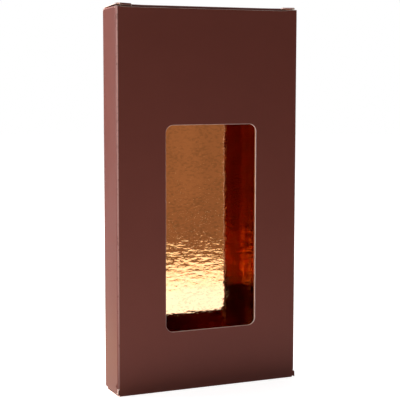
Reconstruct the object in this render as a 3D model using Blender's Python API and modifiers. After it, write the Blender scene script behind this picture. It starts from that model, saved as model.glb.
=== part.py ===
"""Slim folding carton for a chocolate bar, with a die-cut window and a foil-lined inside.

The carton is a glued sleeve of four walls. A tuck-in end closes it at the top, hinged at the
back, and the same end turned half over closes it at the bottom, hinged at the front. Every
panel of the folded blank is a sheet of paperboard with its own sheet of foil on the inside,
and every crease is a rounded bend that two neighbouring panels share, half each.

Frame: +X to the right, -Y towards the viewer, +Z up. The origin is the centre of the base.
Lengths are in metres.
"""

import math
from dataclasses import dataclass

import bmesh
import bpy
from mathutils import Matrix, Vector

MM = 0.001
DEGREE = math.pi / 180.0

# Outside of the folded sleeve
WIDTH = 82.5 * MM
DEPTH = 16.0 * MM
PANEL_HEIGHT = 160.0 * MM       # front or back panel, from its crease to its cut edge

# The laminated board
BOARD = 0.42 * MM
GLUE_LINE = 0.03 * MM
FOIL = 0.05 * MM
WALL = BOARD + GLUE_LINE + FOIL

# Creases: the outer radius of a bend, and the slit that parts the two halves of it
FOLD_RADIUS = 0.75 * MM
FOLD_SLIT = 0.06 * MM
FOLD_STEPS = 4
FOLD_LIP = 1.0 * DEGREE         # a last short step, which sets the cut square to the mitre

# Window in the front panel
WINDOW_WIDTH = 41.4 * MM
WINDOW_HEIGHT = 86.9 * MM
WINDOW_SILL = 25.5 * MM         # above the bottom crease
WINDOW_SHIFT = 1.05 * MM        # to the right of the middle
WINDOW_CORNER = 3.2 * MM

# End closures
CLOSURE_LIFT = 0.5 * MM         # from a panel's cut edge to the closure that covers it
CLOSURE_END_INSET = 0.3 * MM    # from a side wall's face to the closure's end
CLOSURE_RELIEF = 0.9 * MM       # length of the slanted relief beside the hinge crease
CLOSURE_CORNER = 1.6 * MM
TUCK_LENGTH = 10.0 * MM
TUCK_CLEARANCE = 0.7 * MM       # from the wall it slips behind
TUCK_END_INSET = 2.5 * MM       # from a side wall's face
TUCK_CORNER = 4.0 * MM
LOCK_SLIT = 7.0 * MM            # cut in from each end of the tuck crease
LOCK_GAP = 0.15 * MM
EDGE_COVER = 0.1 * MM           # from the wall's lining to the closure's locking ends

# Dust flaps
DUST_LENGTH = 25.0 * MM
DUST_CLEARANCE = 0.35 * MM      # under the closure
DUST_LOCK_INSET = 1.4 * MM      # root, on the side of the tuck
DUST_FREE_INSET = 1.8 * MM      # root, on the side of the hinge
DUST_SHOULDER = 1.2 * MM
DUST_NECK = 0.3 * MM            # from the bend to the shoulder
DUST_TAPER = 4.0 * MM
DUST_CORNER = 2.0 * MM

# Glued seam at the back, on the right
GLUE_WIDTH = 12.0 * MM
GLUE_END_GAP = 1.5 * MM         # beyond the tip of a tuck flap
GLUE_TAPER = 4.0 * MM
SEAM_INSET = 0.2 * MM
SEAM_GAP = 0.3 * MM

ARC_STEPS = 6

# What follows from the sizes above
CLOSED_HEIGHT = PANEL_HEIGHT + CLOSURE_LIFT + WALL
SIDE_TOP = CLOSED_HEIGHT - WALL - DUST_CLEARANCE
SIDE_BOTTOM = CLOSED_HEIGHT - SIDE_TOP
SEAM_FACE = DEPTH / 2 - WALL - GLUE_LINE
TUCK_FACE = DEPTH / 2 - WALL - TUCK_CLEARANCE
BEND_SKIN = FOLD_RADIUS * (1 - math.cos(45 * DEGREE))

PAPERBOARD_BROWN = (0.170, 0.046, 0.034, 1.0)
FOIL_GOLD = (0.93, 0.60, 0.36, 1.0)


@dataclass(frozen=True)
class Fold:
    """A crease along one straight edge of a flat outline.

    normal points out of the outline, corner is the distance from the outline's origin to the
    sharp corner that the bend rounds off, and span is the stretch of the edge that is bent.
    """

    normal: tuple
    corner: float
    span: tuple

    def holds(self, point):
        """Say whether a flat point lies on the edge where the bend begins."""
        normal = Vector(self.normal)
        along = Vector((-normal.y, normal.x))
        flat = Vector((point[0], point[1]))
        tolerance = 0.001 * MM
        on_line = abs(flat.dot(normal) - (self.corner - FOLD_RADIUS)) < tolerance
        place = abs(along.x) * flat.x + abs(along.y) * flat.y
        return on_line and self.span[0] - tolerance < place < self.span[1] + tolerance


@dataclass(frozen=True)
class Layer:
    """One sheet of the laminate: how deep its outer face lies, and how thick it is."""

    suffix: str
    depth: float
    thickness: float


LAYERS = (
    Layer("", 0.0, BOARD),
    Layer("_foil", BOARD + GLUE_LINE, FOIL),
)


def rounded(corners):
    """Turn corners (x, y, radius) into the points of an outline with round corners."""
    points = []
    for index, (x, y, radius) in enumerate(corners):
        here = Vector((x, y))
        if radius <= 0:
            points.append(here)
            continue
        before = (Vector(corners[index - 1][:2]) - here).normalized()
        after = (Vector(corners[(index + 1) % len(corners)][:2]) - here).normalized()
        half = before.angle(after) / 2
        centre = here + (before + after).normalized() * (radius / math.sin(half))
        start = here + before * (radius / math.tan(half)) - centre
        turn = start.angle_signed(here + after * (radius / math.tan(half)) - centre)
        for step in range(ARC_STEPS + 1):
            angle = -turn * step / ARC_STEPS
            points.append(centre + Matrix.Rotation(angle, 2) @ start)
    return points


def rectangle(left, right, bottom, top, radius=0.0):
    """Corners of a rectangle, for rounded()."""
    return [(left, bottom, radius), (right, bottom, radius), (right, top, radius), (left, top, radius)]


def mirrored(corners):
    """The same corners, reflected from left to right."""
    return [(-x, y, radius) for x, y, radius in reversed(corners)]


def filled_sheet(name, outlines):
    """Fill flat outlines, the later ones as holes, and return the open mesh."""
    curve = bpy.data.curves.new(name, "CURVE")
    curve.dimensions = "2D"
    curve.fill_mode = "BOTH"
    for outline in outlines:
        spline = curve.splines.new("POLY")
        spline.points.add(len(outline) - 1)
        for point, place in zip(spline.points, outline):
            point.co = (place.x, place.y, 0.0, 1.0)
        spline.use_cyclic_u = True
    guide = bpy.data.objects.new(name, curve)
    bpy.context.scene.collection.objects.link(guide)
    bpy.context.view_layer.update()
    evaluated = guide.evaluated_get(bpy.context.evaluated_depsgraph_get())
    mesh = bpy.data.meshes.new_from_object(evaluated)
    bpy.data.objects.remove(guide)
    bpy.data.curves.remove(curve)
    return mesh


def curl(sheet, fold, depth):
    """Bend the sheet over a fold's edge, up to the mitre that it shares with its neighbour."""
    normal = Vector((*fold.normal, 0.0))
    centre = normal * (fold.corner - FOLD_RADIUS) + Vector((0.0, 0.0, -FOLD_RADIUS))
    axis = Vector((0.0, 0.0, 1.0)).cross(normal)
    bend = 45 * DEGREE - FOLD_SLIT / 2 / FOLD_RADIUS - FOLD_LIP
    on_plane = -depth - 0.001 * MM
    edges = [
        edge for edge in sheet.edges
        if edge.is_boundary and all(fold.holds(v.co) and v.co.z > on_plane for v in edge.verts)
    ]
    for angle in [bend / FOLD_STEPS] * FOLD_STEPS + [FOLD_LIP]:
        grown = bmesh.ops.extrude_edge_only(sheet, edges=edges)["geom"]
        edges = [item for item in grown if isinstance(item, bmesh.types.BMEdge) and item.is_boundary]
        edges = [edge for edge in edges if all(v in grown for v in edge.verts)]
        moved = [item for item in grown if isinstance(item, bmesh.types.BMVert)]
        for face in (item for item in grown if isinstance(item, bmesh.types.BMFace)):
            face.smooth = True
        turn = Matrix.Rotation(angle, 3, axis)
        bmesh.ops.rotate(sheet, cent=centre, matrix=turn, verts=moved)


def laminate(name, outlines, folds, frame, parent, collection):
    """Make one panel: a sheet of board and the sheet of foil behind it.

    Args:
        name: the panel's name; the foil's adds its suffix.
        outlines: lists of flat points, the first the edge and the others holes.
        folds: the creases along the edge.
        frame: the matrix that places the flat panel, its outer face towards local +Z.
        parent: the empty of the hinge that carries the panel, or None.
        collection: where the objects go.
    """
    for layer in LAYERS:
        mesh = filled_sheet(name + layer.suffix, outlines)
        sheet = bmesh.new()
        sheet.from_mesh(mesh)
        bmesh.ops.remove_doubles(sheet, verts=sheet.verts, dist=0.0005 * MM)
        for face in sheet.faces:
            if face.normal.z < 0:
                face.normal_flip()
        bmesh.ops.translate(sheet, verts=sheet.verts, vec=(0.0, 0.0, -layer.depth))
        for fold in folds:
            curl(sheet, fold, layer.depth)
        sheet.to_mesh(mesh)
        sheet.free()
        mesh.materials.clear()
        mesh.materials.append(finish(layer))
        piece = bpy.data.objects.new(name + layer.suffix, mesh)
        collection.objects.link(piece)
        solid = piece.modifiers.new("thickness", "SOLIDIFY")
        solid.thickness = layer.thickness
        solid.offset = -1.0
        solid.use_even_offset = True
        if parent is not None:
            piece.parent = parent
            piece.matrix_parent_inverse = parent.matrix_world.inverted()
        piece.matrix_basis = frame


def finish(layer):
    """The material of one layer, made on first use."""
    name = "gold_foil" if layer.suffix else "brown_paperboard"
    material = bpy.data.materials.get(name)
    if material is None:
        material = bpy.data.materials.new(name)
        material.use_nodes = True
        shader = material.node_tree.nodes["Principled BSDF"]
        shader.inputs["Base Color"].default_value = FOIL_GOLD if layer.suffix else PAPERBOARD_BROWN
        shader.inputs["Roughness"].default_value = 0.22 if layer.suffix else 0.55
        shader.inputs["Metallic"].default_value = 1.0 if layer.suffix else 0.0
    return material


def facing(right, up, origin):
    """The matrix of a flat panel whose local X and Y run along right and up."""
    across = Vector(right)
    upward = Vector(up)
    outward = across.cross(upward)
    turn = Matrix((across, upward, outward)).transposed()
    return Matrix.Translation(Vector(origin)) @ turn.to_4x4()


def crease_pivot(name, place, collection, parent=None):
    """An empty on a crease's axis, for the panels that turn about it."""
    pivot = bpy.data.objects.new(name, None)
    pivot.empty_display_size = 5 * MM
    collection.objects.link(pivot)
    if parent is not None:
        pivot.parent = parent
        pivot.matrix_parent_inverse = parent.matrix_world.inverted()
    pivot.matrix_basis = Matrix.Translation(Vector(place))
    bpy.context.view_layer.update()
    return pivot


def front_panel(collection):
    """The front: creased to both side panels and, below, to the bottom closure."""
    side = WIDTH / 2 - FOLD_RADIUS
    edge = rectangle(-side, side, FOLD_RADIUS, PANEL_HEIGHT)
    window = rectangle(
        WINDOW_SHIFT - WINDOW_WIDTH / 2, WINDOW_SHIFT + WINDOW_WIDTH / 2,
        WINDOW_SILL, WINDOW_SILL + WINDOW_HEIGHT, WINDOW_CORNER,
    )
    folds = (
        Fold((-1, 0), WIDTH / 2, (FOLD_RADIUS, PANEL_HEIGHT)),
        Fold((1, 0), WIDTH / 2, (FOLD_RADIUS, PANEL_HEIGHT)),
        Fold((0, -1), 0.0, (-side, side)),
    )
    frame = facing((1, 0, 0), (0, 0, 1), (0, -DEPTH / 2, 0))
    laminate("front_panel", [rounded(edge), rounded(window)], folds, frame, None, collection)


def back_panel(collection):
    """The back: creased to the left side and to the top closure, glued over the seam flap."""
    side = WIDTH / 2 - FOLD_RADIUS
    seam = WIDTH / 2 - SEAM_INSET
    bottom = CLOSED_HEIGHT - PANEL_HEIGHT
    top = CLOSED_HEIGHT - FOLD_RADIUS
    # Seen from behind, the seam is on the left, at -seam
    edge = [(-seam, bottom, 0), (side, bottom, 0), (side, top, 0), (-side, top, 0), (-seam, top, 0)]
    folds = (
        Fold((1, 0), WIDTH / 2, (bottom, top)),
        Fold((0, 1), CLOSED_HEIGHT, (-side, side)),
    )
    frame = facing((-1, 0, 0), (0, 0, 1), (0, DEPTH / 2, 0))
    laminate("back_panel", [rounded(edge)], folds, frame, None, collection)


def dust_root(end):
    """The stretch of Y where a side panel is creased to a dust flap, at end +1 or -1."""
    lock = DEPTH / 2 - DUST_LOCK_INSET
    free = DEPTH / 2 - DUST_FREE_INSET
    return (-lock, free) if end > 0 else (-free, lock)


def side_panels(collection):
    """The two narrow sides, creased to the front and to the dust flaps at both ends."""
    low = SIDE_BOTTOM + FOLD_RADIUS
    high = SIDE_TOP - FOLD_RADIUS
    front = -DEPTH / 2 + FOLD_RADIUS
    back = DEPTH / 2 - FOLD_RADIUS
    top_root = dust_root(1)
    bottom_root = dust_root(-1)

    # The left panel's local X points at the viewer, so Y changes sign in its outline
    edge = [
        (-back, low, 0), (-bottom_root[1], low, 0), (-bottom_root[0], low, 0), (-front, low, 0),
        (-front, high, 0), (-top_root[0], high, 0), (-top_root[1], high, 0), (-back, high, 0),
    ]
    folds = (
        Fold((1, 0), DEPTH / 2, (low, high)),
        Fold((-1, 0), DEPTH / 2, (low, high)),
        Fold((0, 1), SIDE_TOP, (-top_root[1], -top_root[0])),
        Fold((0, -1), -SIDE_BOTTOM, (-bottom_root[1], -bottom_root[0])),
    )
    frame = facing((0, -1, 0), (0, 0, 1), (-WIDTH / 2, 0, 0))
    laminate("left_side_panel", [rounded(edge)], folds, frame, None, collection)

    seam_low, seam_high = glue_flap_ends()
    seam = SEAM_FACE - FOLD_RADIUS
    cut = DEPTH / 2 - WALL - SEAM_GAP
    edge = [
        (front, low, 0), (bottom_root[0], low, 0), (bottom_root[1], low, 0), (cut, low, 0),
        (cut, seam_low - LOCK_GAP, 0), (seam, seam_low - LOCK_GAP, 0), (seam, seam_low, 0),
        (seam, seam_high, 0), (seam, seam_high + LOCK_GAP, 0), (cut, seam_high + LOCK_GAP, 0),
        (cut, high, 0), (top_root[1], high, 0), (top_root[0], high, 0), (front, high, 0),
    ]
    folds = (
        Fold((-1, 0), DEPTH / 2, (low, high)),
        Fold((1, 0), SEAM_FACE, (seam_low, seam_high)),
        Fold((0, 1), SIDE_TOP, top_root),
        Fold((0, -1), -SIDE_BOTTOM, bottom_root),
    )
    frame = facing((0, 1, 0), (0, 0, 1), (WIDTH / 2, 0, 0))
    laminate("right_side_panel", [rounded(edge)], folds, frame, None, collection)


def glue_flap_ends():
    """Lowest and highest Z of the seam's crease, clear of both tuck flaps."""
    low = TUCK_LENGTH + GLUE_END_GAP
    return low, CLOSED_HEIGHT - low


def glue_flap(collection):
    """The seam flap, creased to the right side and glued inside the back panel."""
    low, high = glue_flap_ends()
    root = -WIDTH / 2 + FOLD_RADIUS
    tip = -WIDTH / 2 + GLUE_WIDTH
    # Seen from behind, the crease is on the left
    edge = [(root, low, 0), (tip, low + GLUE_TAPER, 0), (tip, high - GLUE_TAPER, 0), (root, high, 0)]
    folds = (Fold((-1, 0), WIDTH / 2, (low, high)),)
    frame = facing((-1, 0, 0), (0, 0, 1), (0, SEAM_FACE, 0))
    laminate("glue_flap", [rounded(edge)], folds, frame, None, collection)


def closure_outline():
    """Flat corners of a closure, its hinge crease towards +Y and its tuck crease towards -Y."""
    hinge = DEPTH / 2 - FOLD_RADIUS
    tuck = -TUCK_FACE + FOLD_RADIUS
    cover = -DEPTH / 2 + WALL + EDGE_COVER
    root = WIDTH / 2 - FOLD_RADIUS
    end = WIDTH / 2 - CLOSURE_END_INSET
    lock = end - LOCK_SLIT
    left = [
        (-root, hinge, 0), (-end, hinge - CLOSURE_RELIEF, 0), (-end, cover, CLOSURE_CORNER),
        (-lock - LOCK_GAP, cover, 0), (-lock - LOCK_GAP, tuck, 0), (-lock, tuck, 0),
    ]
    return left + mirrored(left)


def tuck_outline():
    """Flat corners of a tuck flap that hangs from the top closure, with its locking shoulders."""
    crease = CLOSED_HEIGHT - FOLD_RADIUS
    tip = CLOSED_HEIGHT - TUCK_LENGTH
    end = WIDTH / 2 - TUCK_END_INSET
    lock = WIDTH / 2 - CLOSURE_END_INSET - LOCK_SLIT
    left = [(-lock, crease, 0), (-end, crease, 0), (-end, tip, TUCK_CORNER)]
    return left + mirrored(left)


def dust_outline():
    """Flat corners of the top left dust flap: a locking shoulder in front, a taper behind."""
    root = -WIDTH / 2 + FOLD_RADIUS
    neck = root + DUST_NECK
    tip = -WIDTH / 2 + DUST_LENGTH
    front, back = dust_root(1)
    shoulder = front + DUST_SHOULDER
    return [
        (root, back, 0), (root, front, 0), (neck, front, 0), (neck + DUST_SHOULDER, shoulder, 0),
        (tip, shoulder, DUST_CORNER), (tip, back - DUST_TAPER, DUST_CORNER), (neck, back, 0),
    ]


def closed_end(label, turned, collection):
    """One end of the carton: closure, tuck flap and two dust flaps on their creases.

    Args:
        label: top or bottom.
        turned: the matrix that carries the top end to this one.
        collection: where the objects go.
    """
    hinge_place = turned @ Vector((0, DEPTH / 2 - BEND_SKIN, CLOSED_HEIGHT - BEND_SKIN))
    tuck_place = turned @ Vector((0, -TUCK_FACE + FOLD_RADIUS, CLOSED_HEIGHT - FOLD_RADIUS))
    hinge = crease_pivot(label + "_closure_hinge", hinge_place, collection)
    tuck_crease = crease_pivot(label + "_tuck_crease", tuck_place, collection, hinge)

    root = WIDTH / 2 - FOLD_RADIUS
    lock = WIDTH / 2 - CLOSURE_END_INSET - LOCK_SLIT
    folds = (
        Fold((0, 1), DEPTH / 2, (-root, root)),
        Fold((0, -1), TUCK_FACE, (-lock, lock)),
    )
    frame = turned @ facing((1, 0, 0), (0, 1, 0), (0, 0, CLOSED_HEIGHT))
    name = label + "_closure_panel"
    laminate(name, [rounded(closure_outline())], folds, frame, hinge, collection)

    folds = (Fold((0, 1), CLOSED_HEIGHT, (-lock, lock)),)
    frame = turned @ facing((1, 0, 0), (0, 0, 1), (0, -TUCK_FACE, 0))
    laminate(label + "_tuck_flap", [rounded(tuck_outline())], folds, frame, tuck_crease, collection)

    for side, sign in (("left", -1), ("right", 1)):
        name = f"{label}_{side}_dust"
        crease = Vector((sign * (WIDTH / 2 - FOLD_RADIUS), 0, SIDE_TOP - FOLD_RADIUS))
        pivot = crease_pivot(name + "_crease", turned @ crease, collection)
        outline = dust_outline() if sign < 0 else mirrored(dust_outline())
        folds = (Fold((sign, 0), WIDTH / 2, dust_root(1)),)
        frame = turned @ facing((1, 0, 0), (0, 1, 0), (0, 0, SIDE_TOP))
        laminate(name + "_flap", [rounded(outline)], folds, frame, pivot, collection)


def main():
    """Clear the scene and build the carton."""
    for leftover in list(bpy.data.objects):
        bpy.data.objects.remove(leftover, do_unlink=True)
    carton = bpy.data.collections.new("chocolate_bar_sleeve")
    bpy.context.scene.collection.children.link(carton)
    front_panel(carton)
    back_panel(carton)
    side_panels(carton)
    glue_flap(carton)
    closed_end("top", Matrix.Identity(4), carton)
    upside_down = Matrix.Translation((0, 0, CLOSED_HEIGHT)) @ Matrix.Rotation(math.pi, 4, "X")
    closed_end("bottom", upside_down, carton)


main()
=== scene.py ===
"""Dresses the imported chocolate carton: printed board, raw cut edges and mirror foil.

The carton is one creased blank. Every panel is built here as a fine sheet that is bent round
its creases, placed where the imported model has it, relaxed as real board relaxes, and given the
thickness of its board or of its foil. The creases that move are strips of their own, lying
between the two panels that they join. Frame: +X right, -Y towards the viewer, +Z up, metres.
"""

import logging
import math
from collections.abc import Callable
from dataclasses import dataclass, replace
from enum import Enum, IntEnum

import bmesh
import bpy
from mathutils import Matrix, Vector


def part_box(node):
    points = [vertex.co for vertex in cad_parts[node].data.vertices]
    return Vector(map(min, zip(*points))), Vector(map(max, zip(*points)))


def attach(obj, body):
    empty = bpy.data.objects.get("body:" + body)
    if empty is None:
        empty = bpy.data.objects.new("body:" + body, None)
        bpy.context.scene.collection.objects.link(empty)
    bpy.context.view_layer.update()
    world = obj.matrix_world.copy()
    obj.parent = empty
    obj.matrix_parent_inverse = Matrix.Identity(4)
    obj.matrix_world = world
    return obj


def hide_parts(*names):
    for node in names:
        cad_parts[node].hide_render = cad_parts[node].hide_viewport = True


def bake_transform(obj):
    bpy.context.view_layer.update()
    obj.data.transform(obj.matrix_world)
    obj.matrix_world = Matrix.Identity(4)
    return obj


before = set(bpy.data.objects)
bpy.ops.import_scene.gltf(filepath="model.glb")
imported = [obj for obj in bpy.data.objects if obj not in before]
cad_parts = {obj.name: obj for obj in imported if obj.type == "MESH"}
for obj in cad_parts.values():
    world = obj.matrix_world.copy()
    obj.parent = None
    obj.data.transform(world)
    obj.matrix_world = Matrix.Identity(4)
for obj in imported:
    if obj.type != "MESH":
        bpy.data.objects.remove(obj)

LOG = logging.getLogger("carton")
MM = 0.001
DEGREE = math.pi / 180.0
SAME = 1e-7

Settle = Callable[[Vector], Vector]
Corner = tuple[float, float, float]
Place = tuple[float, float, float]
Range = tuple[float, float]
Color = tuple[float, float, float, float]
Piece = bpy.types.Object
Material = bpy.types.Material
NodeTree = bpy.types.NodeTree
Node = bpy.types.Node
Socket = bpy.types.NodeSocket
GroupSocket = bpy.types.NodeTreeInterfaceSocket

WHITE: Color = (1.0, 1.0, 1.0, 1.0)
GREY: Color = (0.5, 0.5, 0.5, 1.0)


class Face(IntEnum):
    """Which surface of the laminate a face is, and so which material slot it has."""

    PRINTED = 0
    CUT = 1
    BACK = 2


class End(Enum):
    """The two closed ends of the carton."""

    TOP = "top"
    BOTTOM = "bottom"


@dataclass(frozen=True)
class Layer:
    """One sheet of the laminate.

    Attributes:
        suffix: what its pieces add to a panel's name.
        slot: the name of its material slot; not used.
        depth: how far its outer face lies under the printed face.
        thickness: of the sheet itself.
        roll: how far the cutting rule has rolled its cut edge over.
    """

    suffix: str
    slot: str
    depth: float
    thickness: float
    roll: float


BOARD = Layer("", "paperboard", 0.0, 0.42 * MM, 0.10 * MM)
FOIL = Layer("_foil", "foil", 0.42 * MM, 0.08 * MM, 0.0)


@dataclass(frozen=True)
class CartonSizes:
    """The lengths that the carton's panels share, the first of them read from the frame."""

    side: float
    depth: float
    panel_top: float
    closed_top: float
    side_top: float
    tuck_face: float
    tuck_tip: float
    tuck_end: float
    seam_face: float
    seam_cut: float
    seam_tip: float
    flap_low: float
    closure_end: float
    dust_tip: float
    dust_lock: float
    dust_free: float
    wall: float = 0.50 * MM
    fold: float = 0.75 * MM
    lock: float = 7.0 * MM
    slit: float = 0.15 * MM
    cover: float = 0.1 * MM
    relief: float = 0.9 * MM
    closure_corner: float = 1.6 * MM
    tuck_corner: float = 4.0 * MM
    dust_shoulder: float = 1.2 * MM
    dust_neck: float = 0.3 * MM
    dust_taper: float = 4.0 * MM
    dust_corner: float = 2.0 * MM
    glue_taper: float = 4.0 * MM
    window_corner: float = 3.2 * MM
    window_margin: float = 1.0 * MM
    corner_slit: float = 3.3 * MM
    lock_gap: float = 0.25 * MM
    seam_gap: float = 0.3 * MM

    @classmethod
    def from_frame(cls) -> "CartonSizes":
        """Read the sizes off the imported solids.

        Returns:
            The sizes, in metres.
        """
        front_low, front_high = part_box("front_panel")
        left_low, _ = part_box("left_side_panel")
        _, closure_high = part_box("top_closure_panel")
        tuck_low, tuck_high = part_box("top_tuck_flap")
        seam_low, seam_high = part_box("glue_flap")
        dust_low, dust_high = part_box("top_left_dust_flap")
        _, back_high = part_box("back_panel")
        return cls(
            side=-left_low.x,
            depth=-front_low.y,
            panel_top=front_high.z,
            closed_top=closure_high.z,
            side_top=dust_high.z,
            tuck_face=-tuck_low.y,
            tuck_tip=tuck_low.z,
            tuck_end=tuck_high.x,
            seam_face=seam_high.y,
            seam_cut=back_high.x,
            seam_tip=seam_low.x,
            flap_low=seam_low.z,
            closure_end=closure_high.x,
            dust_tip=dust_high.x,
            dust_lock=-dust_low.y,
            dust_free=dust_high.y,
        )

    @property
    def flat_side(self) -> float:
        """Half the width of the front between its two creases."""
        return self.side - self.fold

    @property
    def lock_root(self) -> float:
        """Where the slits of a closure end and its tuck crease begins."""
        return self.closure_end - self.lock


@dataclass(frozen=True)
class Fold:
    """A crease along one straight edge of a flat outline.

    Attributes:
        normal: points out of the outline.
        corner: from the outline's origin to the sharp corner that the bend rounds off.
        span: the stretch of the edge that is bent.
        radius: of the printed face in the bend.
        turn: how far this piece follows the bend; 0 where the crease is a piece of its own.
        joined: whether the bend ends at another piece, and not in a cut edge.
        sprung: the places along the edge where the bend has sprung flat and is still whole.
        drop: how much lower the outer corner of a sprung bend reaches.
        bead: width of the flat strip beside the bend that is painted paler with it: crease wear and a
            painted highlight.
        fade: how far the middle of a bend without such a strip is painted paler: crease wear and a
            painted highlight.
    """

    # How near the edge a point is on it, and what is left of a bend that counts as flat
    NEAR = 0.002 * MM
    STRAIGHT = 0.02

    # How finely a bend is stepped, and how soon a beaded one stops being painted paler (crease wear and
    # painted highlight)
    ROW_TURN = 7.5 * DEGREE
    END_TURN = 0.4 * DEGREE
    FEWEST_ROWS = 4
    BEAD_RATE = 1.4

    normal: Range
    corner: float
    span: Range
    radius: float
    turn: float = 45 * DEGREE
    joined: bool = True
    sprung: Range | None = None
    drop: float = 0.0
    bead: float = 0.0
    fade: float = 0.2

    @property
    def start(self) -> float:
        """Return how far from the outline's origin the bend begins."""
        return self.corner - self.radius

    @property
    def outward(self) -> Vector:
        """Return the normal as a direction in space."""
        return Vector((*self.normal, 0.0))

    @property
    def along(self) -> Vector:
        """Return the direction of the edge."""
        return Vector((abs(self.normal[1]), abs(self.normal[0]), 0.0))

    def place(self, point: Vector) -> float:
        """Return how far along the edge a flat point lies."""
        return abs(self.normal[1]) * point.x + abs(self.normal[0]) * point.y

    def holds(self, point: Vector) -> bool:
        """Say whether a flat point lies on the edge where the bend begins.

        Args:
            point: on the flat sheet.

        Returns:
            True on that edge and at its ends.
        """
        reach = self.normal[0] * point.x + self.normal[1] * point.y
        close = abs(reach - self.start) < self.NEAR
        return close and self.span[0] - self.NEAR < self.place(point) < self.span[1] + self.NEAR

    def whole(self, point: Vector) -> float:
        """Say how much of the bend is left at a point of the edge.

        Args:
            point: on the edge.

        Returns:
            The share, from 0 to 1.
        """
        if self.sprung is None:
            return 1.0
        flat, whole = self.sprung
        share = (self.place(point) - flat) / (whole - flat)
        return min(1.0, max(0.0, share))

    def bent(self, point: Vector, turn: float) -> Vector:
        """Carry a point of the edge on, round the bend.

        Args:
            point: on the edge.
            turn: how far the unsprung bend would have turned.

        Returns:
            The place on the bend.
        """
        share = self.whole(point)
        reach = turn * self.radius
        if share < self.STRAIGHT:
            out, down = reach, 0.0
        else:
            out = math.sin(turn * share) * self.radius / share
            down = (1 - math.cos(turn * share)) * self.radius / share
        lower = self.drop * (1 - share) * turn / self.turn
        return point + self.outward * out - Vector((0.0, 0.0, down)) - self.along * lower

    def paled(self, turn: float) -> float:
        """Return how far the bend is painted paler where it has turned so far: crease wear and a
        painted highlight.
        """
        return math.cos(self.BEAD_RATE * turn) if self.bead else self.fade * math.sin(2 * turn)

    def steps(self) -> list[float]:
        """Space the bend's rows, with a short first and last one for its shading.

        Returns:
            The turn of each.
        """
        if not self.turn:
            return []
        count = max(self.FEWEST_ROWS, round(self.turn / self.ROW_TURN))
        rows = [self.turn * step / count for step in range(1, count)]
        return [self.END_TURN, *rows, self.turn - self.END_TURN, self.turn]


def linked(name: str, data: bpy.types.ID) -> Piece:
    """Add an object to the scene.

    Args:
        name: of the object.
        data: its mesh, curve, lamp or camera.

    Returns:
        The object.
    """
    piece = bpy.data.objects.new(name, data)
    bpy.context.scene.collection.objects.link(piece)
    return piece


def rounded(corners: list[Corner], steps: int = 6) -> list[Vector]:
    """Turn corners (x, y, radius) into the points of an outline with round corners.

    Args:
        corners: in order round the outline.
        steps: chords in each round corner.

    Returns:
        The outline's points.
    """
    points: list[Vector] = []
    for index, (x, y, radius) in enumerate(corners):
        here = Vector((x, y))
        if radius <= 0:
            points.append(here)
            continue
        before = (Vector(corners[index - 1][:2]) - here).normalized()
        after = (Vector(corners[(index + 1) % len(corners)][:2]) - here).normalized()
        half = before.angle(after) / 2
        centre = here + (before + after).normalized() * (radius / math.sin(half))
        start = here + before * (radius / math.tan(half)) - centre
        turn = start.angle_signed(here + after * (radius / math.tan(half)) - centre)
        for step in range(steps + 1):
            points.append(centre + Matrix.Rotation(-turn * step / steps, 2) @ start)
    return points


def rectangle(left: float, right: float, low: float, high: float, radius: float) -> list[Corner]:
    """Return the corners of a rectangle, for rounded()."""
    return [(left, low, radius), (right, low, radius), (right, high, radius), (left, high, radius)]


def mirrored(corners: list[Corner]) -> list[Corner]:
    """Return the same corners, reflected from left to right."""
    return [(-x, y, radius) for x, y, radius in reversed(corners)]


def facing(right: Place, up: Place, origin: Place) -> Matrix:
    """Find the matrix that carries a flat panel to its place.

    Args:
        right: where its local X points.
        up: where its local Y points.
        origin: where its local origin comes to lie.

    Returns:
        The matrix.
    """
    across = Vector(right)
    upward = Vector(up)
    turn = Matrix((across, upward, across.cross(upward))).transposed()
    return Matrix.Translation(Vector(origin)) @ turn.to_4x4()


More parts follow.
